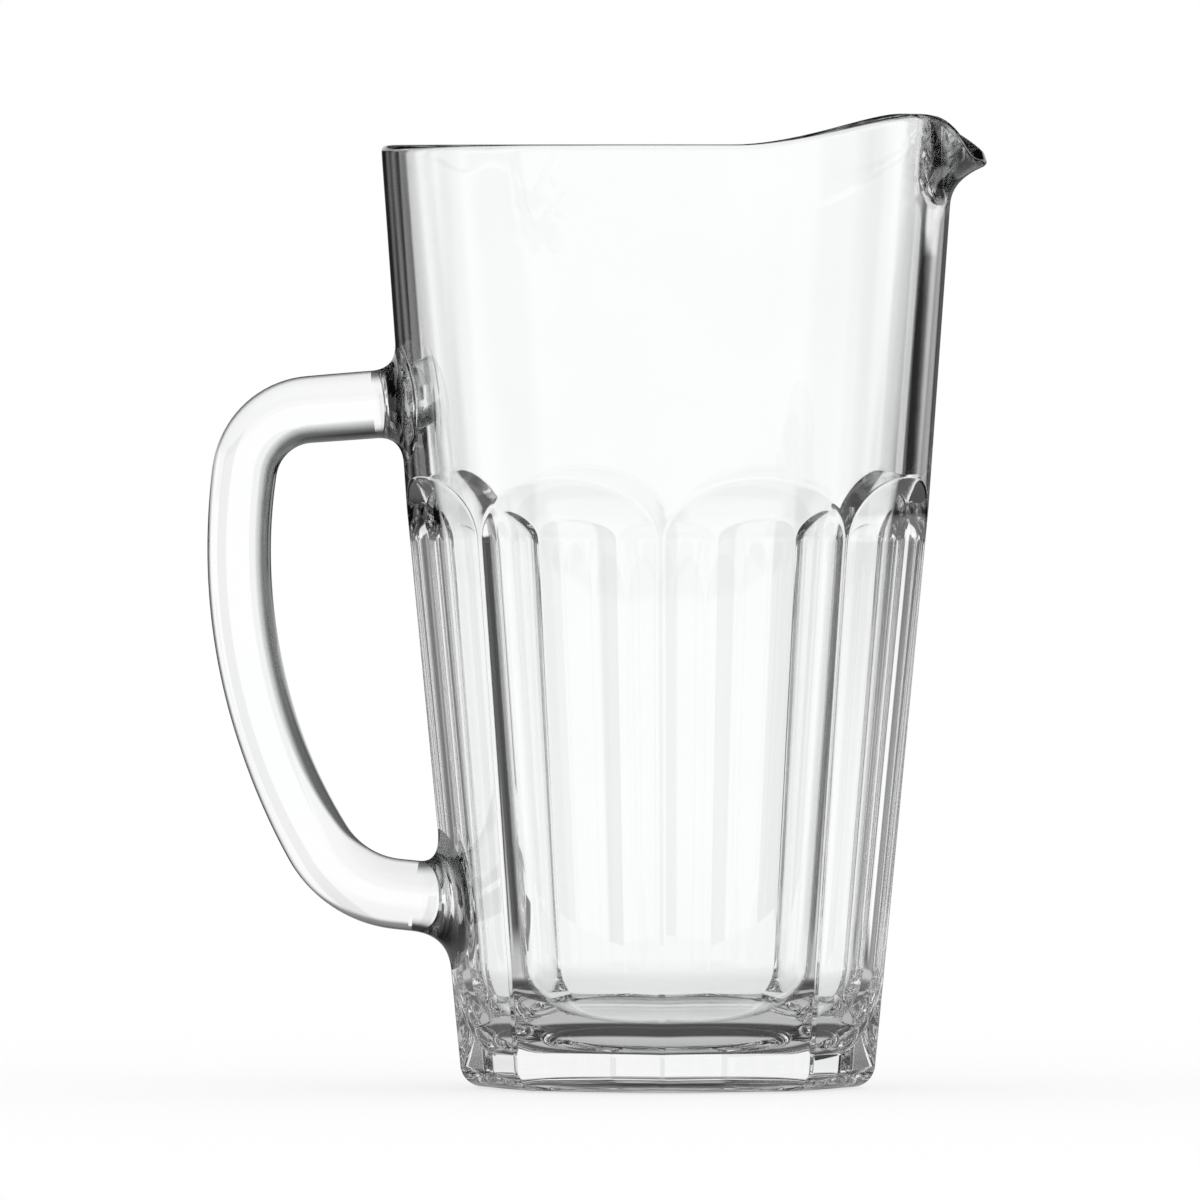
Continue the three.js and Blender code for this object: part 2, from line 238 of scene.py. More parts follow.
vessel = {
    "rimHeight": 226.2,
    "rimWall": 4.8,
    "rimCorner": 1.3,
    "shoulderHeight": 139.0,
    "shoulderRadius": 62.6,
    "upperDraft": 4.07,  # degrees
    "lowerDraft": 5.46,
    "footFillet": 5.6,
    "floorThickness": 9.7,
    "floorWall": 7.6,
    "floorCorner": 21.5,
    "columnsPerPanel": 60,
    "ridgeCrowding": 0.75,  # columns stand closer beside the ridges
    "archRows": (4.0, 18.0),  # rows stand closer from below a flat's end to above it
    "rimFlat": 0.1,  # least half width left between the rim's two corners
    "underShares": (0.25, 0.5, 0.7, 0.85),
    "floorShares": (0.85, 0.6, 0.35, 0.15),
}

rowCounts = {
    "foot": 17,
    "lowerWall": 12,
    "arch": 44,
    "upperWall": 12,
    "bend": 22,
    "rimCorner": 7,
    "cavity": 16,
    "floorCorner": 20,
}

panels = {
    "count": 8,
    "ridgeLand": 1.6,
    "topHeight": 131.4,  # the flat ends here and runs out in an arch
    "runOutRadius": 29.0,
    "softness": 0.12,
}

lip = {
    "earRise": 7.4,
    "earStart": 75.0,  # degrees from the middle of the lip
    "earFull": 29.5,
    "halfAngle": 26.0,
    "channelHalfAngle": 14.0,  # the inside of the spout is narrower than the outside
    "tipFill": 1.0,  # and ends short of its tip
    "reach": 9.7,
    "drop": 10.3,
    "dropSharpness": 1.35,
    "wall": 3.2,
    "bendDepth": 14.5,
    "bendShare": 0.7,
}

upperSlope = math.tan(math.radians(vessel["upperDraft"]))
lowerSlope = math.tan(math.radians(vessel["lowerDraft"]))
rimRadius = vessel["shoulderRadius"] + upperSlope * (vessel["rimHeight"] - vessel["shoulderHeight"])
baseRadius = vessel["shoulderRadius"] - lowerSlope * vessel["shoulderHeight"]
cavityFloorRadius = baseRadius + lowerSlope * vessel["floorThickness"] - vessel["floorWall"]
cavityDepth = vessel["rimHeight"] - vessel["floorThickness"]
cavitySlope = (rimRadius - vessel["rimWall"] - cavityFloorRadius) / cavityDepth


def outerRadius(z):
    above = z - vessel["shoulderHeight"]
    return vessel["shoulderRadius"] + np.where(above < 0, lowerSlope, upperSlope) * above


def innerRadius(z):
    return cavityFloorRadius + cavitySlope * (z - vessel["floorThickness"])


def panelDepth(radius):
    return radius * math.cos(math.pi / panels["count"] - panels["ridgeLand"] / (2 * radius))


panelAtBase = panelDepth(baseRadius)
panelAtShoulder = panelDepth(vessel["shoulderRadius"])
panelSlope = (panelAtShoulder - panelAtBase) / vessel["shoulderHeight"]
sharpAngle = math.radians(40)  # edges sharper than this stay sharp


def smoothStep(share):
    share = np.clip(share, 0.0, 1.0)
    return share * share * (3 - 2 * share)


def pressedRadius(angle, z):
    # the outside of the vessel after the panels are pressed in, as the node tree below does it
    plain = outerRadius(z)
    sector = 2 * math.pi / panels["count"]
    off = angle - sector * (np.floor(angle / sector) + 0.5)
    lift = np.clip(z - panels["topHeight"], 0, panels["runOutRadius"])
    runOut = panels["runOutRadius"] - np.sqrt(panels["runOutRadius"] ** 2 - lift ** 2)
    depth = panelAtBase + panelSlope * z + runOut
    pressed = depth / np.cos(off)
    blend = np.clip(1 - np.abs(plain - pressed) / panels["softness"], 0, 1)
    return np.minimum(plain, pressed) - blend * blend * panels["softness"] / 4


def columnAngles():
    perPanel = vessel["columnsPerPanel"]
    sector = 2 * math.pi / panels["count"]
    share = np.arange(perPanel) / perPanel * 2 - 1
    within = sector / 2 * (share - vessel["ridgeCrowding"] * np.sin(math.pi * share) / math.pi)
    return np.concatenate([k * sector + within for k in range(panels["count"])])


def roundedCorner(slope, radius, floor, wallAtFloor, fromAngle, toAngle, steps):
    # arc between a level floor and a sloping wall, as radii and heights
    length = math.sqrt(1 + slope * slope)
    centreRadius = wallAtFloor + slope * radius - radius * length
    angles = np.linspace(fromAngle, toAngle, steps)
    return centreRadius + radius * np.cos(angles), floor + radius + radius * np.sin(angles)


def vesselRows(angles):
    # rows of points from the middle of the underside, round the rim, to the middle of the inner floor
    count = len(angles)
    rows = []

    def level(radius, height, outer, inset=0.0):
        rows.append((np.full(count, radius), np.full(count, height), outer, inset))

    footRadii, footHeights = roundedCorner(
        lowerSlope, vessel["footFillet"], 0.0, baseRadius,
        -math.pi / 2, -math.atan(lowerSlope), rowCounts["foot"])
    for share in vessel["underShares"]:
        level(footRadii[0] * share, 0.0, 0.0)
    for radius, height in zip(footRadii, footHeights):
        level(radius, height, 1.0, float(outerRadius(height)) - radius)
    bendStart = vessel["rimHeight"] - lip["bendDepth"]
    below, above = vessel["archRows"]
    archFoot, archTop = panels["topHeight"] - below, panels["topHeight"] + above
    wallHeights = np.concatenate([
        np.linspace(footHeights[-1], archFoot, rowCounts["lowerWall"])[1:],
        np.linspace(archFoot, archTop, rowCounts["arch"])[1:],
        np.linspace(archTop, bendStart, rowCounts["upperWall"])[1:-1]])
    for height in wallHeights:
        level(float(outerRadius(height)), height, 1.0)

    # the rim, raised to two ears and bent out to the lip
    away = np.degrees(np.abs((angles + math.pi) % (2 * math.pi) - math.pi))
    rise = lip["earRise"] * smoothStep((lip["earStart"] - away) / (lip["earStart"] - lip["earFull"]))
    bend = np.cos(math.pi / 2 * np.clip(away / lip["halfAngle"], 0, 1)) ** 2

    def middle(z):
        return np.array([(outerRadius(z) + innerRadius(z)) / 2, z + np.zeros(count)])

    foot = middle(bendStart + np.zeros(count))
    edge = middle(vessel["rimHeight"] + rise)
    edge[0] += lip["reach"] * bend
    edge[1] -= lip["drop"] * bend ** lip["dropSharpness"]
    turn = middle(foot[1] + lip["bendShare"] * (edge[1] - foot[1]))
    footWall = float(outerRadius(bendStart) - innerRadius(bendStart))
    channel = np.cos(math.pi / 2 * np.clip(away / lip["channelHalfAngle"], 0, 1)) ** 2
    fill = lip["reach"] * (bend - channel) + lip["tipFill"] * bend
    edgeWall = vessel["rimWall"] + (lip["wall"] - vessel["rimWall"]) * bend + fill
    edge[0] -= fill / 2

    def along(t):
        point = (1 - t) ** 2 * foot + 2 * t * (1 - t) * turn + t * t * edge
        way = 2 * (1 - t) * (turn - foot) + 2 * t * (edge - turn)
        speed = np.hypot(way[0], way[1])
        way = way / speed
        return point, way, np.array([way[1], -way[0]]), speed

    endPoint, endWay, endAcross, endSpeed = along(np.ones(count))
    corner = np.minimum(vessel["rimCorner"], edgeWall / 2 - vessel["rimFlat"])
    lastShare = 1 - corner / endSpeed
    bendRows = np.linspace(0, 1, rowCounts["bend"])
    quarter = np.linspace(0, math.pi / 2, rowCounts["rimCorner"])

    def wallRow(share, side):
        t = share * lastShare
        point, _, across, _ = along(t)
        half = (footWall + (edgeWall - footWall) * t) / 2
        put = point + across * half * side
        rows.append((put[0], put[1], 0.0, 0.0))

    for share in bendRows:
        wallRow(share, 1)
    for side, turns in ((1, quarter[1:]), (-1, quarter[:0:-1])):
        for turnBy in turns:
            put = (endPoint + endAcross * side * (edgeWall / 2 - corner + corner * math.cos(turnBy))
                   - endWay * corner * (1 - math.sin(turnBy)))
            rows.append((put[0], put[1], 0.0, 0.0))
    for share in bendRows[::-1]:
        wallRow(share, -1)

    # down the inside to the floor
    cornerRadii, cornerHeights = roundedCorner(
        cavitySlope, vessel["floorCorner"], vessel["floorThickness"], cavityFloorRadius,
        -math.atan(cavitySlope), -math.pi / 2, rowCounts["floorCorner"])
    for height in np.linspace(bendStart, cornerHeights[0], rowCounts["cavity"])[1:-1]:
        level(float(innerRadius(height)), height, 0.0)
    for radius, height in zip(cornerRadii, cornerHeights):
        level(radius, height, 0.0)
    for share in vessel["floorShares"]:
        level(cornerRadii[-1] * share, vessel["floorThickness"], 0.0)
    return rows


def meshFromRings(name, rings, poles, marks=()):
    # closes rings of points into a skin with one pole point at each end
    ringCount, around = len(rings), len(rings[0])
    points = np.concatenate(list(rings) + [np.array(poles)])
    first, last = ringCount * around, ringCount * around + 1
    faces = []
    for k in range(around):
        n = (k + 1) % around
        faces.append((first, k, n))
        faces.append((last, (ringCount - 1) * around + n, (ringCount - 1) * around + k))
    for r in range(ringCount - 1):
        low, high = r * around, (r + 1) * around
        for k in range(around):
            n = (k + 1) % around
            faces.append((low + k, high + k, high + n, low + n))
    mesh = bpy.data.meshes.new(name)
    mesh.from_pydata((points * mm).tolist(), [], faces)
    for mark, values in dict(marks).items():
        layer = mesh.attributes.new(mark, "FLOAT", "POINT")
        # one value for a ring or for each of its points, and none at the poles
        spread = np.broadcast_to(np.reshape(values, (ringCount, -1)), (ringCount, around))
        atPoints = np.concatenate([spread.ravel(), [0.0, 0.0]])
        layer.data.foreach_set("value", atPoints.astype(np.float32))
    work = bmesh.new()
    work.from_mesh(mesh)
    bmesh.ops.recalc_face_normals(work, faces=work.faces)
    work.to_mesh(mesh)
    work.free()
    mesh.polygons.foreach_set("use_smooth", np.ones(len(mesh.polygons), dtype=bool))
    return mesh


def addObject(name, mesh):
    made = bpy.data.objects.new(name, mesh)
    bpy.context.scene.collection.objects.link(made)
    return made


def settle(piece, name):
    # the evaluated shape becomes the piece's own plain mesh
    graph = bpy.context.evaluated_depsgraph_get()
    mesh = bpy.data.meshes.new_from_object(piece.evaluated_get(graph))
    mesh.name = name
    piece.modifiers.clear()
    piece.data = mesh
    return mesh


def panelTree():
    # presses the flat panels into the outer wall, with an arched run-out above each
    tree = bpy.data.node_groups.new("press_panels", "GeometryNodeTree")
    face = tree.interface
    face.new_socket("Geometry", in_out="OUTPUT", socket_type="NodeSocketGeometry")
    face.new_socket("Geometry", in_out="INPUT", socket_type="NodeSocketGeometry")
    sizes = {
        "Panel Count": panels["count"],
        "Depth At Base": panelAtBase * mm,
        "Panel Slope": panelSlope,
        "Top Height": panels["topHeight"] * mm,
        "Run Out Radius": panels["runOutRadius"] * mm,
        "Softness": panels["softness"] * mm,
    }
    values = {}
    for name, size in sizes.items():
        socket = face.new_socket(name, in_out="INPUT", socket_type="NodeSocketFloat")
        values[socket.identifier] = float(size)
    face.new_socket("Glass", in_out="INPUT", socket_type="NodeSocketMaterial")
    start = Wire(tree)
    given = start.node("NodeGroupInput")
    size = given.out

    place = start.node("GeometryNodeInputPosition")
    parts = start.node("ShaderNodeSeparateXYZ", (), {0: place})
    x, y, z = parts.out("X"), parts.out("Y"), parts.out("Z")
    radius = start.maths("SQRT", x * x + y * y)
    angle = start.maths("ARCTAN2", y, x)
    sector = 2 * math.pi / size("Panel Count")
    off = angle - sector * (start.maths("FLOOR", angle / sector) + 0.5)
    lift = (z - size("Top Height")).most(0.0).least(size("Run Out Radius"))
    swing = start.maths("SQRT", (size("Run Out Radius") * size("Run Out Radius") - lift * lift).most(0.0))
    depth = size("Depth At Base") + size("Panel Slope") * z
    inset = start.node("GeometryNodeInputNamedAttribute", {"data_type": "FLOAT"}, {"Name": "footInset"})
    depth = depth + size("Run Out Radius") - swing - inset
    pressed = depth / start.maths("COSINE", off)
    blend = (1 - start.maths("ABSOLUTE", radius - pressed) / size("Softness")).most(0.0)
    met = radius.least(pressed) - blend * blend * size("Softness") * 0.25
    outer = start.node("GeometryNodeInputNamedAttribute", {"data_type": "FLOAT"}, {"Name": "outerWall"})
    axisGuard = 1e-6  # keeps the pole points from dividing by nothing
    ratio = 1 + (met / radius.most(axisGuard) - 1) * outer
    moved = start.node("ShaderNodeCombineXYZ", (), {"X": x * ratio, "Y": y * ratio, "Z": z})
    shaped = start.node("GeometryNodeSetPosition", (), {
        "Geometry": given.out("Geometry"), "Position": moved})
    real = start.node("GeometryNodeRealizeInstances", (), {"Geometry": shaped})
    dressed = start.node("GeometryNodeSetMaterial", (), {"Geometry": real, "Material": size("Glass")})
    start.node("NodeGroupOutput", (), {"Geometry": dressed})
    return tree, values


def buildVessel():
    angles = columnAngles()
    rows = vesselRows(angles)
    radii, heights, outer, inset = zip(*rows)
    rings = [np.stack([r * np.cos(angles), r * np.sin(angles), z], axis=1) for r, z in zip(radii, heights)]
    marks = {"outerWall": outer, "footInset": [depth * mm for depth in inset]}
    poles = [(0.0, 0.0, 0.0), (0.0, 0.0, vessel["floorThickness"])]
    piece = addObject("pitcher_glass", meshFromRings("vessel_blank", rings, poles, marks))
    tree, values = panelTree()
    press = piece.modifiers.new("press_panels", "NODES")
    press.node_group = tree
    for identifier, value in values.items():
        press[identifier] = value
    for socket in tree.interface.items_tree:
        if socket.in_out == "INPUT" and socket.socket_type == "NodeSocketMaterial":
            press[socket.identifier] = pressedGlass
    settle(piece, "pitcher_glass")
    return piece


pitcherGlass = buildVessel()
print("vessel pressed:", len(pitcherGlass.data.polygons), "faces")


# handle and the two collars that weld it on, in millimetres

bar = {
    "fingerGap": 33.7,
    "gripHeight": 128.9,
    "gripRadius": 140.0,
    "gripThickness": 15.2,
    "gripWidth": 18.4,
    "gripSquareness": 2.6,
    "swellLength": 60.0,
    "around": 64,
    "stepLength": 1.2,
    "endGap": 0.01,  # faces nearer than this to an arm's end are fused
}

upperWeld = {"height": 164.3, "thickness": 16.3, "tilt": -4.4, "bendRadius": 17.0, "side": -1,
             "collarLength": 6.2, "flare": 6.8}
lowerWeld = {"height": 45.1, "thickness": 17.0, "tilt": 6.0, "bendRadius": 25.0, "side": 1,
             "collarLength": 7.0, "flare": 8.2}

collar = {
    "weldDepth": 0.4,  # how far its foot is let into the wall
    "around": 96,
    "flareRings": 28,
    "footShares": (0.9, 0.75, 0.6, 0.45, 0.3, 0.15),
    "capShares": (0.33, 0.66),
    "wallTries": 60,  # steps of the search for the wall
}

gripReach = float(outerRadius(bar["gripHeight"])) + bar["fingerGap"] + bar["gripThickness"] / 2
gripCentre = np.array([bar["gripRadius"] - gripReach, bar["gripHeight"]])


def armLine(weld):
    tilt = math.radians(weld["tilt"])
    start = np.array([-float(outerRadius(weld["height"])), weld["height"]])
    return start, np.array([-math.cos(tilt), math.sin(tilt)])


def bendCircle(weld):
    start, out = armLine(weld)
    inward = np.array([out[1], -out[0]]) * weld["side"]
    toOrigin = start + inward * weld["bendRadius"] - gripCentre
    along = toOrigin @ out
    apart = bar["gripRadius"] - weld["bendRadius"]
    reach = -along + math.sqrt(along ** 2 - toOrigin @ toOrigin + apart ** 2)
    centre = start + inward * weld["bendRadius"] + out * reach
    way = (centre - gripCentre) / np.linalg.norm(centre - gripCentre)
    return centre, start + out * reach, gripCentre + way * bar["gripRadius"]


def arcPoints(centre, first, last):
    start, end = first - centre, last - centre
    radius = np.linalg.norm(start)
    startAngle = math.atan2(start[1], start[0])
    turn = (math.atan2(end[1], end[0]) - startAngle + math.pi) % (2 * math.pi) - math.pi
    steps = max(4, round(abs(turn) * radius / bar["stepLength"]))
    angles = startAngle + turn * np.linspace(0, 1, steps + 1)
    return centre + radius * np.stack([np.cos(angles), np.sin(angles)], axis=1)


def linePoints(first, last):
    steps = max(2, round(np.linalg.norm(last - first) / bar["stepLength"]))
    return first + (last - first) * np.linspace(0, 1, steps + 1)[:, None]


def barPath():
    upperStart, upperOut = armLine(upperWeld)
    lowerStart, lowerOut = armLine(lowerWeld)
    upperCentre, upperFirst, upperLast = bendCircle(upperWeld)
    lowerCentre, lowerFirst, lowerLast = bendCircle(lowerWeld)
    runs = [
        linePoints(upperStart + upperOut * upperWeld["collarLength"], upperFirst),
        arcPoints(upperCentre, upperFirst, upperLast),
        arcPoints(gripCentre, upperLast, lowerLast),
        arcPoints(lowerCentre, lowerLast, lowerFirst),
        linePoints(lowerFirst, lowerStart + lowerOut * lowerWeld["collarLength"]),
    ]
    path = np.concatenate([runs[0]] + [run[1:] for run in runs[1:]])
    way = np.gradient(path, axis=0)
    way[0], way[-1] = upperOut, -lowerOut
    return path, way / np.linalg.norm(way, axis=1)[:, None]


def closedEnds(rings, endSteps=(0.66, 0.33)):
    # level rings inside the first and the last one, and the two pole points
    first, last = rings[0], rings[-1]
    firstPole, lastPole = first.mean(axis=0), last.mean(axis=0)
    before = [firstPole + (first - firstPole) * share for share in endSteps[::-1]]
    after = [lastPole + (last - lastPole) * share for share in endSteps]
    return before + list(rings) + after, [firstPole, lastPole]


def markFaces(mesh, fused):
    for face in mesh.polygons:
        face.material_index = 1 if fused(face) else 0
    mesh.set_sharp_from_angle(angle=sharpAngle)


def buildBar():
    path, way = barPath()
    travelled = np.concatenate([[0], np.cumsum(np.linalg.norm(np.diff(path, axis=0), axis=1))])
    fromUpper = smoothStep(travelled / bar["swellLength"])
    fromLower = smoothStep((travelled[-1] - travelled) / bar["swellLength"])
    half = travelled[-1] / 2
    swell = np.where(travelled < half, fromUpper, fromLower)
    armThickness = np.where(travelled < half, upperWeld["thickness"], lowerWeld["thickness"])
    thickness = armThickness + (bar["gripThickness"] - armThickness) * swell
    width = armThickness + (bar["gripWidth"] - armThickness) * swell
    power = 2 + (bar["gripSquareness"] - 2) * swell
    turns = np.arange(bar["around"]) / bar["around"] * 2 * math.pi
    rings = []
    for place, along, thick, wide, square in zip(path, way, thickness, width, power):
        inThickness = np.abs(2 * np.cos(turns) / thick) ** square
        inWidth = np.abs(2 * np.sin(turns) / wide) ** square
        reach = (inThickness + inWidth) ** (-1 / square)
        across = np.array([-along[1], along[0]])
        flat = place + np.outer(reach * np.cos(turns), across)
        rings.append(np.stack([flat[:, 0], reach * np.sin(turns), flat[:, 1]], axis=1))
    rings, poles = closedEnds(rings)
    # the side towards the vessel, which gets painted shade, fading out along the lower arm
    fade = np.pad(fromLower, (len(rings) - len(path)) // 2, mode="edge")
    marks = {"inner_side": np.outer(fade, np.cos(turns))}
    mesh = meshFromRings("handle_bar", rings, poles, marks)
    mesh.materials.append(drawnGlass)
    mesh.materials.append(fusedFace)
    ends = []
    for weld in (upperWeld, lowerWeld):
        start, out = armLine(weld)
        ends.append((start + out * weld["collarLength"], out))

    def atEnd(face):
        middle = np.array([face.center.x, face.center.z]) / mm
        return any(abs((middle - place) @ out) < bar["endGap"] for place, out in ends)

    markFaces(mesh, atEnd)
    return addObject("handle_bar", mesh)


def wallTravel(weld, up, side):
    # how far along the arm, towards the axis, the pressed wall lies
    start, out = armLine(weld)
    lift = np.array([out[1], -out[0]])
    travel = np.zeros_like(up)
    for attempt in range(collar["wallTries"]):
        x = start[0] + lift[0] * up - out[0] * travel
        z = start[1] + lift[1] * up - out[1] * travel
        travel = travel + np.hypot(x, side) - pressedRadius(np.arctan2(side, x), z)
    return travel


def buildCollar(name, weld):
    start, out = armLine(weld)
    lift = np.array([out[1], -out[0]])
    around, depth = collar["around"], collar["weldDepth"]
    turns = np.arange(around) / around * 2 * math.pi
    barRadius = weld["thickness"] / 2
    footRadius = barRadius + weld["flare"]

    def place(reach, travel):
        up, side = reach * np.cos(turns), reach * np.sin(turns)
        return np.stack([start[0] + lift[0] * up - out[0] * travel, side,
                         start[1] + lift[1] * up - out[1] * travel], axis=1)

    def wallAt(reach):
        return wallTravel(weld, reach * np.cos(turns), reach * np.sin(turns))

    atBar, atFoot = wallAt(barRadius), wallAt(footRadius)
    rings = []
    for s in np.linspace(0, 1, collar["flareRings"]):
        travel = (1 - s) ** 2 * -weld["collarLength"] + 2 * s * (1 - s) * atBar + s * s * atFoot
        rings.append(place(barRadius + s * s * weld["flare"], travel))
    rings.append(place(footRadius, atFoot + depth))
    for share in collar["footShares"]:
        rings.append(place(footRadius * share, wallAt(footRadius * share) + depth))
    root = float(wallTravel(weld, np.zeros(1), np.zeros(1))[0]) + depth
    capTravel = np.full(around, -weld["collarLength"])
    cap = [place(barRadius * share, capTravel) for share in collar["capShares"]]
    poles = [(start[0] + out[0] * weld["collarLength"], 0, start[1] + out[1] * weld["collarLength"]),
             (start[0] - out[0] * root, 0, start[1] - out[1] * root)]
    mesh = meshFromRings(name, cap + rings, poles)
    mesh.materials.append(collarGlass)
    mesh.materials.append(fusedFace)
    # faces of the flare stay glass, the cap on the bar and everything let into the wall are fused
    flare = range(len(cap) * around, (len(cap) + collar["flareRings"]) * around)
    markFaces(mesh, lambda face: not all(corner in flare for corner in face.vertices))
    return addObject(name, mesh)


handleBar = buildBar()
upperCollar = buildCollar("upper_weld_collar", upperWeld)
lowerCollar = buildCollar("lower_weld_collar", lowerWeld)
print("handle and collars built")


def letIn(body, foot):
    # a collar's foot gets its own shallow seat in the wall
    cut = body.modifiers.new("weld_seat", "BOOLEAN")
    cut.operation = "DIFFERENCE"
    cut.solver = "EXACT"
    cut.material_mode = "TRANSFER"
    cut.object = foot


letIn(pitcherGlass, upperCollar)
letIn(pitcherGlass, lowerCollar)
settle(pitcherGlass, "pitcher_glass")
pitcherGlass.data.set_sharp_from_angle(angle=sharpAngle)
print("welds seated:", len(pitcherGlass.data.polygons), "faces")


# floor and studio

white = (1.0, 1.0, 1.0, 1.0)

studio = {
    "floorRadius": 0.8,
    "floorSides": 128,
    "floorDrop": 0.0003,
    "floorColour": (0.95, 0.95, 0.95, 1.0),
    "floorGlow": 0.7,
    "floorThrough": (0.85, 0.97),  # floor seen straight through the glass, darker with painted shade at the foot and paler far away
    "floorThroughReach": (0.06, 0.3),  # metres from the axis
    "floorMirrored": (0.03, 0.5),  # floor in a reflection inside the glass: a painted shadow under the foot, and lighter around it
    "footShade": (0.085, 0.13),
    # light gathered by the foot
    "footRings": {(-0.03, 0.031): 0.5, (0.0415, 0.05): 0.45, (0.06, 0.066): 0.4},
    "ringSoftness": 0.0012,
    "frontGain": 0.45,  # the floor in front of the pitcher is lighter in a reflection
    "frontStart": (-0.02, 0.06),  # metres forward of the axis
    "frontTurn": (97.0, 113.0),  # degrees from straight behind
    "lipSideShade": ((58.0, 104.0), 0.45, 4.0),  # and darker beyond the lip
    "groundTop": (-17.0, -13.0),  # degrees up
    "floorEnd": (0.2, 0.3),
    "fillLight": 1.05,
    "wallGaps": {(9.0, 22.0): 0.13, (-23.0, -11.0): 0.1},  # grey joints in the white wall behind
    "gapSoftness": 1.0,
    "wallEnds": {(-80.0, -47.0): 0.03, (53.0, 110.0): 0.03},  # dark flags beside it
    "endSoftness": 3.0,
    "wallFoot": (-16.0, -9.0),
    "wallTop": (34.0, 46.0),
    "aboveWall": 0.3,
    "tent": 1.0,
}

# cards around the pitcher, seen in reflections inside its glass, each painted over those before it:
# degrees from straight behind towards the lip, degrees up, level, and the softness of the edges both ways
cards = {
    "roof": ((-400.0, 400.0), (15.0, 200.0), 0.1, 5.0, 2.0),
    "top": ((-400.0, 400.0), (48.0, 200.0), 0.5, 5.0, 4.0),
    "upperLeft": ((-108.0, -76.0), (5.0, 30.0), 0.06, 4.0, 1.0),
    "upperRight": ((76.0, 108.0), (5.0, 30.0), 0.06, 4.0, 1.0),
    "back": ((-42.0, 50.0), (-40.0, 30.0), 0.02, 1.5, 3.0),
    "backGlow": ((-28.0, -23.0), (-40.0, 0.0), 0.4, 4.0, 1.5),
    "over": ((-52.0, 52.0), (1.0, 9.0), 0.9, 3.0, 1.0),
    "middle": ((-10.0, 12.0), (0.0, 8.0), 1.0, 2.0, 1.0),
    "window": ((20.0, 37.0), (-5.5, 6.0), 1.0, 3.0, 1.0),
    "gapRight": ((40.0, 46.0), (-4.5, 0.0), 0.03, 1.5, 0.5),
    "lowRight": ((42.0, 48.5), (-14.0, -5.0), 1.0, 1.0, 0.5),
    "lowDark": ((49.0, 62.0), (-14.0, -5.0), 0.05, 1.0, 0.5),
    "backRight": ((-4.0, 17.0), (-14.0, -0.5), 0.16, 2.0, 1.0),
    "leftStrip": ((-82.0, -68.0), (-40.0, -5.0), 0.03, 3.0, 1.0),
    "rightStrip": ((74.0, 90.0), (-40.0, -5.0), 0.02, 3.0, 1.0),
}


def between(value, limits, soft):
    low, high = limits
    return value.step(low - soft, low + soft) * (1 - value.step(high - soft, high + soft))


def glassPaths(start):
    # rays that come through glass, and those of them that were mirrored inside it
    path = start.node("ShaderNodeLightPath")
    seen = path.out("Is Camera Ray")
    throughGlass = path.out("Is Glossy Ray").most(path.out("Is Transmission Ray")) * (1 - seen)
    mirrored = path.out("Glossy Depth").least(1.0)
    return seen, throughGlass, mirrored


def buildFloor():
    work = bmesh.new()
    bmesh.ops.create_circle(
        work, cap_ends=True, segments=studio["floorSides"], radius=studio["floorRadius"])
    mesh = bpy.data.meshes.new("studio_floor")
    work.to_mesh(mesh)
    work.free()
    for point in mesh.vertices:
        point.co.z = -studio["floorDrop"]
    material = bpy.data.materials.new("studio_floor_paint")
    start = emptyTree(material)
    seen, throughGlass, mirrored = glassPaths(start)
    paint = start.node("ShaderNodeBsdfDiffuse", (), {"Color": studio["floorColour"]})
    glow = start.node("ShaderNodeEmission", (), {"Color": white, "Strength": 1.0})
    place = start.node("ShaderNodeTexCoord").out("Object")
    reach = start.node("ShaderNodeVectorMath", {"operation": "LENGTH"}, {0: place}, out="Value")
    forward = 0 - start.node("ShaderNodeSeparateXYZ", (), {0: place}).out("Y")
    # the floor as glass sees it: painted shade near the foot, a painted shadow under it and painted rings
    # of light
    near, far = studio["floorThrough"]
    clearLevel = near + (far - near) * reach.step(*studio["floorThroughReach"])
    under, around = studio["floorMirrored"]
    around = around + studio["frontGain"] * forward.step(*studio["frontStart"])
    mirrorLevel = under + (around - under) * reach.step(*studio["footShade"])
    for ring, gain in studio["footRings"].items():
        mirrorLevel = mirrorLevel + between(reach, ring, studio["ringSoftness"]) * gain
    clearTone, mirrorTone = (
        start.node("ShaderNodeCombineColor", (), dict.fromkeys(range(3), level))
        for level in (clearLevel, mirrorLevel))
    pale = start.node("ShaderNodeMixShader", (), {0: seen * studio["floorGlow"], 1: paint, 2: glow})
    through = start.node("ShaderNodeEmission", (), {"Color": clearTone, "Strength": 1.0})
    dim = start.node("ShaderNodeEmission", (), {"Color": mirrorTone, "Strength": 1.0})
    beyond = start.node("ShaderNodeBsdfTransparent", (), {"Color": white})
    dim = start.node("ShaderNodeMixShader", (), {0: reach.step(*studio["floorEnd"]), 1: dim, 2: beyond})
    glassSees = start.node("ShaderNodeMixShader", (), {0: mirrored, 1: through, 2: dim})
    mixed = start.node("ShaderNodeMixShader", (), {0: throughGlass, 1: pale, 2: glassSees})
    start.node("ShaderNodeOutputMaterial", (), {"Surface": mixed})
    mesh.materials.append(material)
    floor = addObject("studio_floor", mesh)


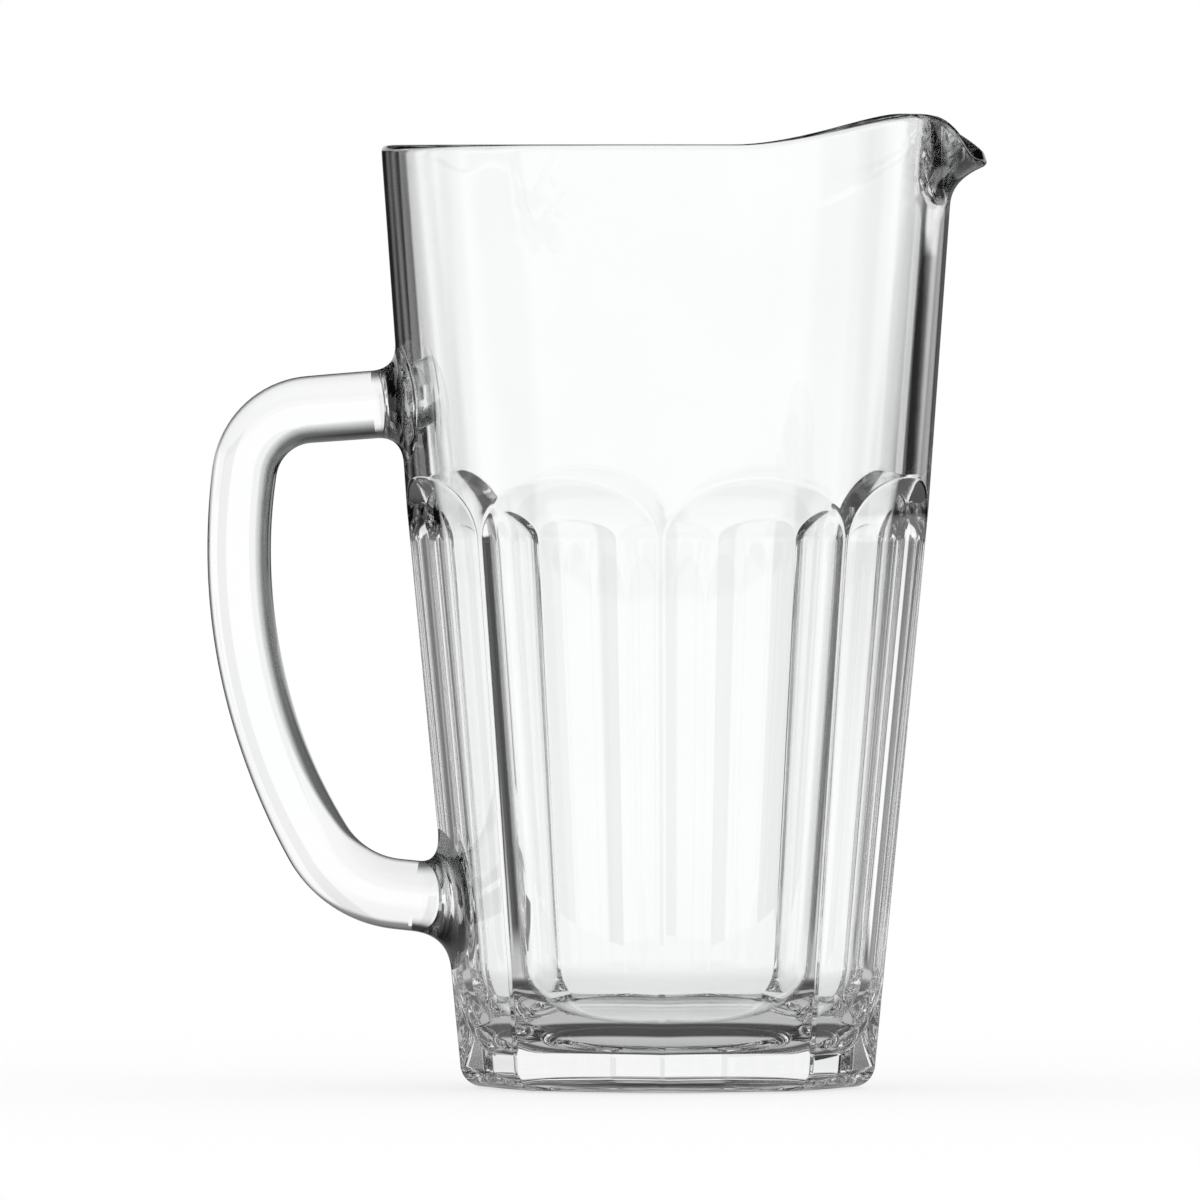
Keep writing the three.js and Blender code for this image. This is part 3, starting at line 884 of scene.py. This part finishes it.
def buildStudio():
    world = bpy.data.worlds.new("studio")
    start = emptyTree(world)
    way = start.node("ShaderNodeTexCoord").out("Generated")
    parts = start.node("ShaderNodeSeparateXYZ", (), {0: way})
    x, y, z = parts.out("X"), parts.out("Y"), parts.out("Z")
    azimuth = start.maths("ARCTAN2", x, y) * math.degrees(1)
    elevation = start.maths("ARCSINE", z) * math.degrees(1)
    straight = start.maths("ADD", 1.0)
    for limits, dip in studio["wallGaps"].items():
        straight = straight - between(azimuth, limits, studio["gapSoftness"]) * dip
    for limits, level in studio["wallEnds"].items():
        straight = straight + (level - straight) * between(azimuth, limits, studio["endSoftness"])
    straight = straight + (studio["aboveWall"] - straight) * elevation.step(*studio["wallTop"])
    belowWall = 1 - elevation.step(*studio["wallFoot"])
    straight = straight + (studio["floorThrough"][1] - straight) * belowWall
    bounced = start.maths("ADD", studio["tent"])
    for across, up, level, softAcross, softUp in cards.values():
        onCard = between(azimuth, across, softAcross) * between(elevation, up, softUp)
        bounced = bounced + (level - bounced) * onCard
    forward = start.maths("ABSOLUTE", azimuth).step(*studio["frontTurn"])
    lipSide, shade, soft = studio["lipSideShade"]
    ground = studio["floorMirrored"][1] + studio["frontGain"] * forward
    ground = ground - between(azimuth, lipSide, soft) * shade
    bounced = bounced + (ground - bounced) * (1 - elevation.step(*studio["groundTop"]))
    seen, throughGlass, mirrored = glassPaths(start)
    inGlass = straight + (bounced - straight) * mirrored
    level = studio["fillLight"] + (inGlass - studio["fillLight"]) * throughGlass
    level = level + (1 - level) * seen
    light = start.node("ShaderNodeBackground", (), {"Color": white, "Strength": level})
    start.node("ShaderNodeOutputWorld", (), {"Surface": light})
    bpy.context.scene.world = world


buildFloor()
buildStudio()
scene = bpy.context.scene
scene.view_settings.view_transform = "Standard"
# thick glass needs many turns of a ray
bounces = {
    "max_bounces": 32,
    "transmission_bounces": 32,
    "glossy_bounces": 16,
    "transparent_max_bounces": 32,
}
for limit, turns in bounces.items():
    setattr(scene.cycles, limit, turns)
print("studio ready")

for piece, node, finish in (
        (pitcherGlass, "pitcher_body", "body_glass"),
        (handleBar, "handle", "handle_glass"),
        (upperCollar, "upper_handle_collar", "weld_glass"),
        (lowerCollar, "lower_handle_collar", "weld_glass")):
    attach(piece, "root")
    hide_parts(node)

print("pieces tied to the frame")
